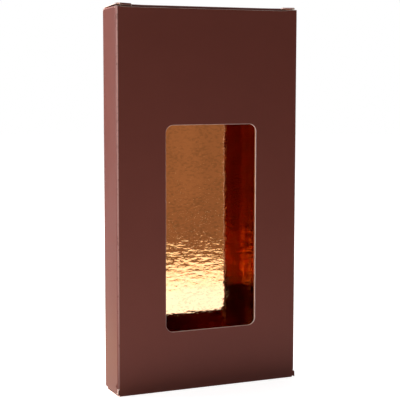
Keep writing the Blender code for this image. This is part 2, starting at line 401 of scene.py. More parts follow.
class Sheet:
    """The printed face of one panel, an open surface that is bent, placed and thickened."""

    # Spacing of the grid, its least gap to the outline, and how close points are welded
    SPACING = 2.6 * MM
    KEEP_OFF = 0.4 * MM
    WELD = 0.0005 * MM

    # Limits that keep the rolled edge from shooting out at sharp corners
    LEAST_SLIDE = 0.3
    LEAST_SUM = 0.4

    def __init__(self, outlines: list[list[Corner]], folds: list[Fold]) -> None:
        """Fill flat outlines, divide the result into a grid and bend it over the folds.

        Args:
            outlines: the sheet's own, and then those of its holes.
            folds: along its edges, in the order in which they are bent.
        """
        self.surface = self._filled([rounded(outline) for outline in outlines])
        if len(outlines) == 1:
            inner = [edge for edge in self.surface.edges if not edge.is_boundary]
            bmesh.ops.dissolve_edges(self.surface, edges=inner, use_verts=False)
        self.joined = self.surface.edges.layers.int.new("joined")
        # The bend layer holds how much paler each point is painted: crease wear and a painted highlight
        self.bend = self.surface.verts.layers.float.new("bend")
        self._divide()
        for fold in folds:
            self._curl(fold)

    @classmethod
    def _filled(cls, outlines: list[list[Vector]]) -> bmesh.types.BMesh:
        """Fill the outlines.

        Args:
            outlines: the later ones are holes.

        Returns:
            The flat surface, with its normals along +Z.
        """
        curve = bpy.data.curves.new("outline", "CURVE")
        curve.dimensions = "2D"
        curve.fill_mode = "BOTH"
        for outline in outlines:
            spline = curve.splines.new("POLY")
            spline.points.add(len(outline) - 1)
            for point, place in zip(spline.points, outline):
                point.co = (place.x, place.y, 0.0, 1.0)
            spline.use_cyclic_u = True
        guide = linked("outline", curve)
        bpy.context.view_layer.update()
        evaluated = guide.evaluated_get(bpy.context.evaluated_depsgraph_get())
        mesh = bpy.data.meshes.new_from_object(evaluated)
        surface = bmesh.new()
        surface.from_mesh(mesh)
        bpy.data.objects.remove(guide)
        bpy.data.curves.remove(curve)
        bpy.data.meshes.remove(mesh)
        bmesh.ops.remove_doubles(surface, verts=surface.verts, dist=cls.WELD)
        for face in surface.faces:
            if face.normal.z < 0:
                face.normal_flip()
        return surface

    def _cut(self, parts: list[object], plane: Vector, normal: Vector) -> None:
        """Part some of the surface's elements along a plane through a point."""
        bmesh.ops.bisect_plane(self.surface, geom=parts, dist=SAME, plane_co=plane, plane_no=normal)

    def _divide(self) -> None:
        """Cut the flat sheet along an even grid that keeps off its outline."""
        taken = [sorted({round(vert.co[axis], 7) for vert in self.surface.verts}) for axis in (0, 1)]
        for axis, places in enumerate(taken):
            low, high = places[0], places[-1]
            count = max(1, round((high - low) / self.SPACING))
            direction = Vector((1.0 - axis, float(axis), 0.0))
            for step in range(1, count):
                cut = low + (high - low) * step / count
                if min(abs(cut - place) for place in places) < self.KEEP_OFF:
                    continue
                parts = [*self.surface.verts, *self.surface.edges, *self.surface.faces]
                self._cut(parts, direction * cut, direction)

    def _curl(self, fold: Fold) -> None:
        """Bend the sheet over a fold, or mark where the crease's own piece begins.

        Args:
            fold: along one edge of the flat sheet.
        """
        if fold.bead:
            flat = [vert for vert in self.surface.verts if abs(vert.co.z) < SAME]
            near = dict.fromkeys(part for vert in flat for part in (*vert.link_edges, *vert.link_faces))
            self._cut([*flat, *near], fold.outward * (fold.start - fold.bead), fold.outward)
        pairs = []
        for edge in self.surface.edges:
            held = all(abs(vert.co.z) < SAME and fold.holds(vert.co) for vert in edge.verts)
            if edge.is_boundary and held:
                loop = edge.link_loops[0]
                pairs.append((loop.vert, loop.link_loop_next.vert))
        base = {vert: vert.co.copy() for pair in pairs for vert in pair}
        for vert in base:
            vert[self.bend] = fold.paled(0.0)
        row = {vert: vert for vert in base}
        for turn in fold.steps():
            made = {}
            for first, place in base.items():
                made[first] = self.surface.verts.new(fold.bent(place, turn))
                made[first][self.bend] = fold.paled(turn) * fold.whole(place)
            for one, other in pairs:
                self.surface.faces.new((row[other], row[one], made[one], made[other]))
            row = made
        for one, other in pairs:
            self.surface.edges.get((row[one], row[other]))[self.joined] = int(fold.joined)

    def put(self, place: Matrix, settle: Settle) -> "Sheet":
        """Stand the sheet in the carton and let it relax.

        Args:
            place: the flat panel's matrix, its printed face towards local +Z.
            settle: moves each point from its ideal place to where real board has it.

        Returns:
            The sheet itself.
        """
        for vert in self.surface.verts:
            vert.co = settle(place @ vert.co)
        self.surface.normal_update()
        return self

    def _inward(self, vert: bmesh.types.BMVert) -> Vector:
        """Find how a point moves in, along the surface, as the cut edge is rolled.

        Args:
            vert: any point of the surface.

        Returns:
            The move for a roll of one metre, and zero for a point that is on no cut edge.
        """
        cuts = [edge for edge in vert.link_edges if edge.is_boundary and not edge[self.joined]]
        seams = [edge for edge in vert.link_edges if edge.is_boundary and edge[self.joined]]
        pulls = []
        for edge in cuts:
            face = edge.link_faces[0]
            along = (edge.verts[1].co - edge.verts[0].co).normalized()
            pull = face.normal.cross(along)
            if pull.dot(face.calc_center_median() - edge.verts[0].co) < 0:
                pull.negate()
            pulls.append(pull)
        if not pulls:
            return Vector()
        if seams:
            slide = (seams[0].other_vert(vert).co - vert.co).normalized()
            return slide / max(self.LEAST_SLIDE, slide.dot(pulls[0]))
        if len(pulls) == 1:
            return pulls[0]
        return (pulls[0] + pulls[1]) / max(self.LEAST_SUM, 1 + pulls[0].dot(pulls[1]))

    def solid(self, name: str, layer: Layer, finishes: list[Material]) -> Piece:
        """Thicken the sheet into one layer of the laminate.

        Args:
            name: of the new object.
            layer: the board or the foil.
            finishes: materials of the printed face, the cut edges and the back.

        Returns:
            The closed piece.
        """
        self.surface.verts.index_update()
        turns = [0.0, 45 * DEGREE, 90 * DEGREE] if layer.roll else [0.0]
        points: list[Vector] = []
        rings: list[list[int]] = []
        bends: list[float] = []
        for vert in self.surface.verts:
            inward = self._inward(vert) * layer.roll if layer.roll else Vector()
            ring = []
            for turn in turns:
                sink = layer.depth + layer.roll * (1 - math.cos(turn))
                ring.append(len(points))
                points.append(vert.co + inward * (1 - math.sin(turn)) - vert.normal * sink)
                if not inward.length:
                    break
            ring.append(len(points))
            points.append(vert.co - vert.normal * (layer.depth + layer.thickness))
            rings.append(ring)
            bends += [vert[self.bend]] * len(ring)
        faces: list[list[int]] = []
        kinds: list[Face] = []
        for face in self.surface.faces:
            indices = [vert.index for vert in face.verts]
            faces.append([rings[i][0] for i in indices])
            kinds.append(Face.PRINTED)
            faces.append([rings[i][-1] for i in reversed(indices)])
            kinds.append(Face.BACK)
        for edge in self.surface.edges:
            if not edge.is_boundary:
                continue
            loop = edge.link_loops[0]
            one, other = rings[loop.vert.index], rings[loop.link_loop_next.vert.index]
            for step in range(max(len(one), len(other)) - 1):
                quad = [
                    other[min(step, len(other) - 2)], one[min(step, len(one) - 2)],
                    one[min(step + 1, len(one) - 1)], other[min(step + 1, len(other) - 1)],
                ]
                faces.append(list(dict.fromkeys(quad)))
                kinds.append(Face.CUT)
        mesh = bpy.data.meshes.new(name)
        mesh.from_pydata(points, [], faces)
        for material in finishes:
            mesh.materials.append(material)
        mesh.polygons.foreach_set("material_index", [int(kind) for kind in kinds])
        mesh.polygons.foreach_set("use_smooth", [kind != Face.CUT for kind in kinds])
        # The bend attribute carries that painted paling of crease wear and highlight to the material
        mark = mesh.attributes.new("bend", "FLOAT", "POINT")
        mark.data.foreach_set("value", bends)
        mesh.update()
        cuts = [polygon for polygon in mesh.polygons if not polygon.use_smooth]
        rims = {key for polygon in cuts for key in polygon.edge_keys}
        for edge in mesh.edges:
            edge.use_edge_sharp = edge.key in rims
        return linked(name, mesh)

    def free(self) -> None:
        """Drop the surface once its pieces are made."""
        self.surface.free()


@dataclass(frozen=True)
class Posture:
    """How the folded board has relaxed, from its ideal flat walls to what the photo shows.

    Attributes:
        sizes: of the carton.
        front_bow: how far the middle of the front bulges out.
        back_bow: the same at the back.
        side_bow: the same at each side.
        lip: how far the front's top edge leans out over the tuck flap.
        spring: lift of the top closure at its left lock, in its middle and at its right lock.
        root_lift: lift of the top dust flaps' creases at the front, left and right.
        root_sag: how far the same corners hang down at the bottom.
        push: how far the bottom tuck flap pushes the back's lower end out.
        wave: how deep the back is waved across, in the middle of its height.
        rise: how far the front's top edge has crept up beside the tuck flap.
        snag: how far the top closure's locks stand up past their slits.
        corner_runs: how far from the front's left and right crease its top corner is raised.
        corner_shares: how far these corners follow the dust flap's crease beside them.
    """

    # Lengths over which a movement grows or fades, and the places where it begins
    LIP_RUN = 5 * MM
    RISE_RUN = 8 * MM
    PUSH_START = 12 * MM
    PUSH_RUN = 30 * MM
    WAVE_START = 15 * MM
    WAVE_RUN = 8 * MM
    END_RUN = 12 * MM
    ROOT_RUN = 10 * MM
    LOCK_RUN = 14 * MM
    CLOSURE_RUN = 13.3 * MM
    SNAG_RUN = 1.0 * MM
    DUST_START = 6 * MM
    DUST_RUN = 5 * MM
    LEAST_LIFT = 0.2 * MM

    # Exponents of a bow along its wall and of the lifts, and how soon a bow is at its full depth
    BOW_POWER = 0.7
    ROOT_POWER = 1.4
    LOCK_POWER = 1.6
    PLATEAU = 4

    sizes: CartonSizes
    front_bow: float = 0.25 * MM
    back_bow: float = 0.2 * MM
    side_bow: float = 0.12 * MM
    lip: float = 0.12 * MM
    spring: tuple[float, float, float] = (0.75 * MM, 0.3 * MM, 0.55 * MM)
    root_lift: Range = (0.6 * MM, 0.45 * MM)
    root_sag: float = 0.25 * MM
    push: float = 0.6 * MM
    wave: float = 0.15 * MM
    rise: float = 0.3 * MM
    snag: float = 0.3 * MM
    corner_runs: Range = (3 * MM, 7 * MM)
    corner_shares: Range = (0.6, 1.2)

    @staticmethod
    def _ease(share: float) -> float:
        """Return a smooth step from 0 to 1."""
        share = min(1.0, max(0.0, share))
        return share * share * (3 - 2 * share)

    def _upper(self, point: Vector) -> bool:
        """Say whether a point lies in the carton's upper half."""
        return point.z > self.sizes.closed_top / 2

    def _root(self, point: Vector) -> float:
        """Say how far up the side's top, or down its bottom, has moved at a point.

        Args:
            point: on an ideal wall.

        Returns:
            The distance, which is negative downwards.
        """
        sizes = self.sizes
        forward = ((sizes.depth - point.y) / (2 * sizes.depth)) ** self.ROOT_POWER
        if self._upper(point):
            lift = self.root_lift[int(point.x >= 0)]
            return self.LEAST_LIFT + (lift - self.LEAST_LIFT) * forward
        return -self.root_sag * forward

    def wall(self, point: Vector) -> Vector:
        """Bow the four walls, and raise or lower them where they meet the flaps.

        Args:
            point: on an ideal wall.

        Returns:
            Where real board has it.
        """
        sizes = self.sizes
        across = max(0.0, 1 - (point.x / sizes.flat_side) ** 2)
        plateau = min(1.0, self.PLATEAU * across)
        height = min(1.0, max(0.0, point.z / sizes.closed_top))
        up = math.sin(math.pi * height) ** self.BOW_POWER
        inner = sizes.depth - sizes.fold
        moved = point.copy()
        if point.y < -inner:
            above = point.z - sizes.panel_top
            top = self._ease((above + self.LIP_RUN) / self.LIP_RUN)
            moved.y -= self.front_bow * across * up + self.lip * top * plateau
            moved.z += self.rise * self._ease((above + self.RISE_RUN) / self.RISE_RUN)
            side = int(point.x >= 0)
            corner = 1 - (sizes.flat_side - abs(point.x)) / self.corner_runs[side]
            if self._upper(point):
                moved.z += self._root(point) * self._ease(corner) * top * self.corner_shares[side]
        elif point.y > inner:
            pushed = 1 - self._ease((point.z - self.PUSH_START) / self.PUSH_RUN)
            waved = math.sin((point.x - self.WAVE_START) / self.WAVE_RUN)
            waved *= math.sin(math.pi * point.z / sizes.closed_top)
            moved.y += (self.back_bow * up + self.push * pushed) * across + self.wave * waved * plateau
        if abs(point.x) > sizes.flat_side:
            middle = max(0.0, 1 - (point.y / inner) ** 2)
            moved.x += math.copysign(self.side_bow * middle * up, point.x)
            end = abs(point.z - sizes.closed_top / 2) - (sizes.closed_top / 2 - self.END_RUN)
            if abs(point.y) < inner:
                moved.z += self._root(point) * self._ease(end / self.ROOT_RUN)
        return moved

    def _lift(self, across: float) -> float:
        """Say how far the top closure's front edge is lifted.

        Args:
            across: place along that edge, from its middle.

        Returns:
            The lift.
        """
        left, middle, right = self.spring
        share = (abs(across) - (self.sizes.side - self.LOCK_RUN)) / self.LOCK_RUN
        rise = (left if across < 0 else right) - middle
        return middle + rise * max(0.0, share) ** self.LOCK_POWER

    def closure(self, point: Vector) -> Vector:
        """Lift the closure in front, most at its locks; the bottom one stays flat.

        Args:
            point: on the ideal closure.

        Returns:
            Where real board has it.
        """
        moved = point.copy()
        sizes = self.sizes
        if self._upper(point):
            forward = (sizes.depth - sizes.fold - point.y) / self.CLOSURE_RUN
            moved.z += self._lift(point.x) * self._ease(forward)
            past = (-sizes.tuck_face + sizes.fold - point.y) / self.SNAG_RUN
            moved.z += self.snag * self._ease(past)
        return moved

    def tuck(self, point: Vector) -> Vector:
        """Lift the tuck flap and its crease as the closure's crease line is lifted.

        Args:
            point: on the ideal flap or crease.

        Returns:
            Where real board has it.
        """
        moved = point.copy()
        root = self.sizes.lock_root
        if self._upper(point):
            held = min(root, max(-root, point.x))
            moved.z += self._lift(held)
        return moved

    def dust(self, point: Vector) -> Vector:
        """Let a dust flap's root follow its side panel, and the flap lie flat further in.

        Args:
            point: on the ideal flap or crease.

        Returns:
            Where real board has it.
        """
        moved = point.copy()
        inward = (abs(point.x) - (self.sizes.side - self.DUST_START)) / self.DUST_RUN
        moved.z += self._root(point) * self._ease(inward)
        return moved


class NodeWork:
    """A small hand for node trees: makes nodes, sets their inputs and joins them."""

    # Roughness of every noise, and the places of a mix node's colours
    OCTAVE_SHARE = 0.55
    COLOR_INPUTS = (6, 7)
    COLOR_OUTPUT = 2

    def __init__(self, tree: NodeTree) -> None:
        """Work on one tree."""
        self.tree = tree

    def feed(self, socket: Socket, value: object) -> None:
        """Join a socket to an input, or set the input's value.

        Args:
            socket: the input.
            value: the socket to join, or the value.
        """
        if isinstance(value, Socket):
            self.tree.links.new(value, socket)
        else:
            socket.default_value = value

    def fill(self, node: Node, **inputs: object) -> None:
        """Feed a node's inputs by name, each blank in a name written as an underscore."""
        for name, value in inputs.items():
            self.feed(node.inputs[name.replace("_", " ")], value)

    def node(self, kind: str, settings: dict | None = None, **inputs: object) -> Node:
        """Add a node.

        Args:
            kind: its Blender type.
            settings: its own properties.
            **inputs: values or sockets by input name, as fill() takes them.

        Returns:
            The node.
        """
        node = self.tree.nodes.new(kind)
        for name, value in (settings or {}).items():
            setattr(node, name, value)
        self.fill(node, **inputs)
        return node

    def combined(self, kind: str, operation: str, *values: object) -> Node:
        """Add a maths node.

        Args:
            kind: its Blender type.
            operation: what it does.
            *values: values or sockets for its inputs, in their order.

        Returns:
            The node.
        """
        node = self.node(kind, {"operation": operation})
        for socket, value in zip(node.inputs, values):
            self.feed(socket, value)
        return node

    def math(self, operation: str, *values: object) -> Socket:
        """Return the result of one maths node."""
        return self.combined("ShaderNodeMath", operation, *values).outputs[0]

    def place(self) -> Socket:
        """Return the object's own coordinates."""
        return self.node("ShaderNodeTexCoord").outputs["Object"]

    def stretched(self, place: Socket, factors: Place) -> Socket:
        """Return coordinates multiplied by the factors."""
        return self.combined("ShaderNodeVectorMath", "MULTIPLY", place, factors).outputs[0]

    def noise(self, place: Socket, scale: float, detail: float) -> Socket:
        """Add a noise.

        Args:
            place: the coordinates it follows.
            scale: about how many features it has to the metre.
            detail: how many finer layers it has.

        Returns:
            Its value.
        """
        node = self.node(
            "ShaderNodeTexNoise", Vector=place, Scale=scale, Detail=detail, Roughness=self.OCTAVE_SHARE,
        )
        return node.outputs["Fac"]

    def ranged(self, value: Socket, limits: Range, results: Range = (0.0, 1.0)) -> Socket:
        """Map a value to a new range.

        Args:
            value: the given one.
            limits: between which it counts.
            results: what it becomes at the one and at the other limit.

        Returns:
            The new value.
        """
        node = self.node(
            "ShaderNodeMapRange", Value=value, From_Min=limits[0], From_Max=limits[1],
            To_Min=results[0], To_Max=results[1],
        )
        return node.outputs[0]

    def mix(self, share: object, *colors: object) -> Socket:
        """Mix two colours.

        Args:
            share: of the second one.
            *colors: the first and the second.

        Returns:
            The mix.
        """
        node = self.node("ShaderNodeMix", {"data_type": "RGBA"})
        self.feed(node.inputs["Factor"], share)
        for place, color in zip(self.COLOR_INPUTS, colors):
            self.feed(node.inputs[place], color)
        return node.outputs[self.COLOR_OUTPUT]


class SharedGroup:
    """A shader node group that is made once and shared by all that use it."""

    NAME: str
    INPUTS: dict[str, float | Color]
    OUTPUTS: tuple[str, ...]

    @classmethod
    def group(cls) -> NodeTree:
        """Find the node group, or make it on first use.

        Returns:
            The group.
        """
        if cls.NAME in bpy.data.node_groups:
            return bpy.data.node_groups[cls.NAME]
        tree = bpy.data.node_groups.new(cls.NAME, "ShaderNodeTree")
        for label, default in cls.INPUTS.items():
            cls._socket(tree, label, "INPUT").default_value = default
        for label in cls.OUTPUTS:
            cls._socket(tree, label, "OUTPUT")
        work = NodeWork(tree)
        cls._fill(work, work.node("NodeGroupInput").outputs, work.node("NodeGroupOutput"))
        return tree

    @staticmethod
    def _socket(tree: NodeTree, label: str, side: str) -> GroupSocket:
        """Add an input or an output, which holds a colour if its name ends so."""
        kind = "NodeSocketColor" if label.endswith("Color") else "NodeSocketFloat"
        return tree.interface.new_socket(name=label, in_out=side, socket_type=kind)

    @classmethod
    def _fill(cls, work: NodeWork, given: dict[str, Socket], result: Node) -> None:
        """Make the nodes between the inputs and the outputs.

        Args:
            work: the hand that works on the group.
            given: the group's inputs by name.
            result: the node that takes its outputs.
        """
        raise NotImplementedError


class PaperGrain(SharedGroup):
    """The fine grain of paper: mottled colour, fibres and a slightly uneven sheen."""

    NAME = "paper_grain"
    INPUTS = {"Color": GREY, "Mottle": 0.05, "Fibre": 0.05, "Roughness": 0.5}
    OUTPUTS = ("Color", "Roughness", "Height")

    # Scale and detail of each noise, and how it counts
    CLOUDS = (70.0, 4.0)
    FIBRES = (2600.0, 2.0)
    FIBRE_STRETCH = (1.0, 1.0, 0.3)
    PORES = (1300.0, 3.0)
    SHEEN_SHARE = 0.6
    FIBRE_HEIGHT = 0.4
    PORE_HEIGHT = 0.6

    @classmethod
    def _fill(cls, work: NodeWork, given: dict[str, Socket], result: Node) -> None:
        """Swing the colour and the roughness about their inputs.

        Args:
            work: the hand that works on the group.
            given: the group's inputs by name.
            result: the node that takes its outputs.
        """
        place = work.place()
        clouds = work.noise(place, *cls.CLOUDS)
        fibres = work.noise(work.stretched(place, cls.FIBRE_STRETCH), *cls.FIBRES)
        pores = work.math("MULTIPLY", work.noise(place, *cls.PORES), cls.PORE_HEIGHT)
        cloud_swing = work.math("MULTIPLY", work.math("SUBTRACT", clouds, 0.5), given["Mottle"])
        fibre_swing = work.math("MULTIPLY", work.math("SUBTRACT", fibres, 0.5), given["Fibre"])
        level = work.math("ADD", 1.0, work.math("ADD", cloud_swing, fibre_swing))
        shade = work.node("ShaderNodeHueSaturation", Color=given["Color"], Value=level)
        sheen = work.math("MULTIPLY", cloud_swing, cls.SHEEN_SHARE)
        work.fill(
            result, Color=shade.outputs[0], Roughness=work.math("ADD", given["Roughness"], sheen),
            Height=work.math("ADD", work.math("MULTIPLY", fibres, cls.FIBRE_HEIGHT), pores),
        )


class CreaseWearAndHighlight(SharedGroup):
    """Print that has stretched and paled along the creases, with a painted highlight on them, most of
    all near the top.
    """

    NAME = "crease_wear_and_highlight"
    INPUTS = {"Color": GREY, "Worn Color": (0.8, 0.8, 0.8, 1.0), "Amount": 0.3}
    OUTPUTS = ("Color",)

    # Scale, detail and range of the patches, and how the painted highlight grows with the height
    BREAKS = (700.0, 4.0)
    BREAK_RANGE = (0.15, 0.45)
    HIGHLIGHT_HEIGHTS = (0.0, 0.16)
    HIGHLIGHT_SHARES = (0.3, 1.0)

    @classmethod
    def _fill(cls, work: NodeWork, given: dict[str, Socket], result: Node) -> None:
        """Mix in the paler colour of wear and painted highlight where the sheet is bent, in broken
        patches.

        Args:
            work: the hand that works on the group.
            given: the group's inputs by name.
            result: the node that takes its outputs.
        """
        bend = work.node("ShaderNodeAttribute", {"attribute_name": "bend"}).outputs["Fac"]
        place = work.place()
        broken = work.ranged(work.noise(place, *cls.BREAKS), cls.BREAK_RANGE)
        # Painted highlight: the paling grows towards the top, as the creases' highlight does
        height = work.node("ShaderNodeSeparateXYZ", Vector=place).outputs["Z"]
        highlight_toward_top = work.ranged(height, cls.HIGHLIGHT_HEIGHTS, cls.HIGHLIGHT_SHARES)
        wear_and_highlight_patches = work.math("MULTIPLY", broken, highlight_toward_top)
        mask = work.math("MULTIPLY", work.math("MULTIPLY", bend, wear_and_highlight_patches), given["Amount"])
        work.fill(result, Color=work.mix(mask, given["Color"], given["Worn Color"]))


class FoilDimples(SharedGroup):
    """The uneven face of foil that is laminated to board: dimples, waves and drawn wrinkles."""

    NAME = "foil_dimples"
    INPUTS = {
        "Color": (0.9, 0.6, 0.3, 1.0), "Tint Color": (0.8, 0.4, 0.2, 1.0), "Roughness": 0.1,
        "Dimples": 0.3, "Waves": 1.0, "Pits": 1.0,
    }
    OUTPUTS = ("Color", "Roughness", "Height")

    # Scale and detail of each noise, how its coordinates are stretched, and how it counts
    DIMPLES = (1050.0, 1.0)
    WAVES = (300.0, 2.0)
    WAVE_STRETCH = (0.6, 1.0, 1.3)
    DRAWN = (560.0, 2.0)
    DRAWN_STRETCH = (0.5, 1.0, 1.3)
    SPECKS = (2300.0, 1.0)
    CLOUDS = (120.0, 3.0)
    DUST = (1000.0, 2.0)
    DUST_STRETCH = (0.7, 1.0, 1.4)
    PIT_RANGE = (0.70, 0.78)
    CLOUD_SHARE = 0.35
    DUST_SHARE = 0.65
    TINT_RANGE = (0.48, 0.62)
    DULLING = 0.03

    @classmethod
    def _fill(cls, work: NodeWork, given: dict[str, Socket], result: Node) -> None:
        """Tint the colour in spots, dull the dimples a little, and add up the relief.

        Args:
            work: the hand that works on the group.
            given: the group's inputs by name.
            result: the node that takes its outputs.
        """
        place = work.place()
        dimples = work.noise(place, *cls.DIMPLES)
        waves = work.noise(work.stretched(place, cls.WAVE_STRETCH), *cls.WAVES)
        drawn = work.noise(work.stretched(place, cls.DRAWN_STRETCH), *cls.DRAWN)
        specks = work.ranged(work.noise(place, *cls.SPECKS), cls.PIT_RANGE)
        tall = work.math("MULTIPLY", dimples, given["Dimples"])
        long = work.math("MULTIPLY", work.math("ADD", waves, drawn), given["Waves"])
        deep = work.math("MULTIPLY", specks, given["Pits"])
        clouds = work.math("MULTIPLY", work.noise(place, *cls.CLOUDS), cls.CLOUD_SHARE)
        dust = work.noise(work.stretched(place, cls.DUST_STRETCH), *cls.DUST)
        mottle = work.math("ADD", clouds, work.math("MULTIPLY", dust, cls.DUST_SHARE))
        tinted = work.ranged(mottle, cls.TINT_RANGE)
        dull = work.math("MULTIPLY", dimples, cls.DULLING)
        work.fill(
            result, Color=work.mix(tinted, given["Color"], given["Tint Color"]),
            Roughness=work.math("ADD", given["Roughness"], dull),
            Height=work.math("SUBTRACT", work.math("ADD", tall, long), deep),
        )


def new_material(name: str) -> tuple[Material, NodeWork, Node]:
    """Make a node material.

    Args:
        name: of the material.

    Returns:
        The material, the hand that works on its nodes, and its Principled shader.
    """
    material = bpy.data.materials.new(name)
    material.use_nodes = True
    return material, NodeWork(material.node_tree), material.node_tree.nodes["Principled BSDF"]


@dataclass(frozen=True)
class Finish:
    """What the finishes share: a texture group gives the colour, the roughness and the relief.

    Attributes:
        name: of the material.
        color: before the texture changes it.
        roughness: the same.
        relief: height of the bumps.
    """

    name: str
    color: Color
    roughness: float
    relief: float

    def _textured(
        self, texture: type[SharedGroup], **inputs: object,
    ) -> tuple[Material, NodeWork, Node, Node]:
        """Make the material with its texture.

        Args:
            texture: the group that all of it comes from.
            **inputs: of the group, apart from the colour and the roughness.

        Returns:
            The material, the hand that works on its nodes, its shader and its texture node.
        """
        material, work, shader = new_material(self.name)
        node = work.node(
            "ShaderNodeGroup", {"node_tree": texture.group()},
            Color=self.color, Roughness=self.roughness, **inputs,
        )
        bump = work.node(
            "ShaderNodeBump", Strength=1.0, Distance=self.relief, Height=node.outputs["Height"],
        )
        work.fill(
            shader, Base_Color=node.outputs["Color"], Roughness=node.outputs["Roughness"],
            Normal=bump.outputs[0],
        )
        return material, work, shader, node


@dataclass(frozen=True)
class PrintedBoard(Finish):
    """Cocoa brown print with a satin varnish, on fine board."""

    name: str = "brown_print"
    color: Color = (0.170, 0.046, 0.034, 1.0)
    # Paler colour of the worn creases and of the highlight painted on them, and how much of it
    worn_and_lit_color: Color = (0.90, 0.50, 0.45, 1.0)
    wear_and_highlight: float = 1.0
    roughness: float = 0.40
    shine: float = 0.12
    relief: float = 0.006 * MM
    mottle: float = 0.10
    fibre: float = 0.09

    def material(self) -> Material:
        """Make the printed board, with its grain and its creases painted paler as wear and as a painted
        highlight.

        Returns:
            The material.
        """
        material, work, shader, grain = self._textured(PaperGrain, Mottle=self.mottle, Fibre=self.fibre)
        wear_and_highlight = work.node(
            "ShaderNodeGroup", {"node_tree": CreaseWearAndHighlight.group()},
            Color=grain.outputs["Color"], Worn_Color=self.worn_and_lit_color, Amount=self.wear_and_highlight,
        )
        work.fill(shader, Base_Color=wear_and_highlight.outputs["Color"], Specular_IOR_Level=self.shine)
        return material


@dataclass(frozen=True)
class RawCut(Finish):
    """The pale core of the board where the cutting rule has parted it."""

    name: str = "raw_cut"
    color: Color = (0.95, 0.70, 0.62, 1.0)
    roughness: float = 0.85
    relief: float = 0.02 * MM
    mottle: float = 0.25
    fibre: float = 0.5

    def material(self) -> Material:
        """Return the material."""
        return self._textured(PaperGrain, Mottle=self.mottle, Fibre=self.fibre)[0]


@dataclass(frozen=True)
class GoldFoil(Finish):
    """Copper-gold foil, mirror bright and finely dimpled."""

    name: str = "gold_foil"
    color: Color = (0.93, 0.61, 0.36, 1.0)
    tint: Color = (0.74, 0.50, 0.29, 1.0)
    roughness: float = 0.03
    relief: float = 0.02 * MM
    dimples: float = 0.3
    waves: float = 2.5
    pits: float = 0.4

    def material(self) -> Material:
        """Make the foil, with its dimples.

        Returns:
            The material.
        """
        material, work, shader, _ = self._textured(
            FoilDimples, Tint_Color=self.tint, Dimples=self.dimples, Waves=self.waves, Pits=self.pits,
        )
        work.fill(shader, Metallic=1.0)
        return material


class Laminate:
    """Turns sheets into the pieces of the carton, a board and a foil for each."""

    def __init__(self) -> None:
        """Make the finishes."""
        self.printed = PrintedBoard().material()
        self.cut = RawCut().material()
        self.foil = GoldFoil().material()
        taut = GoldFoil(name="taut_gold_foil", color=(0.85, 0.55, 0.32, 1.0), relief=0.005 * MM)
        self.taut = taut.material()

    def _layers(self, name: str, sheet: Sheet) -> list[tuple[Layer, Piece]]:
        """Make the board and the foil of one sheet, the foil taut on the front and the sides.

        Args:
            name: of the board; the foil's has its suffix.
            sheet: in place and relaxed.

        Returns:
            Each layer with its piece.
        """
        gold = self.taut if "front_panel" in name or "side_panel" in name else self.foil
        board = sheet.solid(name, BOARD, [self.printed, self.cut, self.cut])
        foil = sheet.solid(name + FOIL.suffix, FOIL, [gold, self.cut, gold])
        sheet.free()
        return [(BOARD, board), (FOIL, foil)]

    def panel(self, node: str, sheet: Sheet, body: str) -> None:
        """Dress one panel, which stands for its CAD board and its CAD foil.

        Args:
            node: the CAD node of the board; the foil's has its suffix.
            sheet: in place and relaxed.
            body: the CAD body that carries it.
        """
        for layer, piece in self._layers(node + "_skin", sheet):
            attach(piece, body)
            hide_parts(node + layer.suffix)
            LOG.info("%s rides on %s", piece.name, body)

    def crease(
        self, name: str, sheet: Sheet, bodies: tuple[str, str], ends: tuple[Vector, Vector],
    ) -> None:
        """Dress a crease that moves.

        Args:
            name: of the crease.
            sheet: in place and relaxed.
            bodies: the two that it joins.
            ends: the points between which it bends; not used.
        """
        for layer, piece in self._layers(name, sheet):
            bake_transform(piece)
            LOG.info("%s bends between %s and %s", piece.name, *bodies)


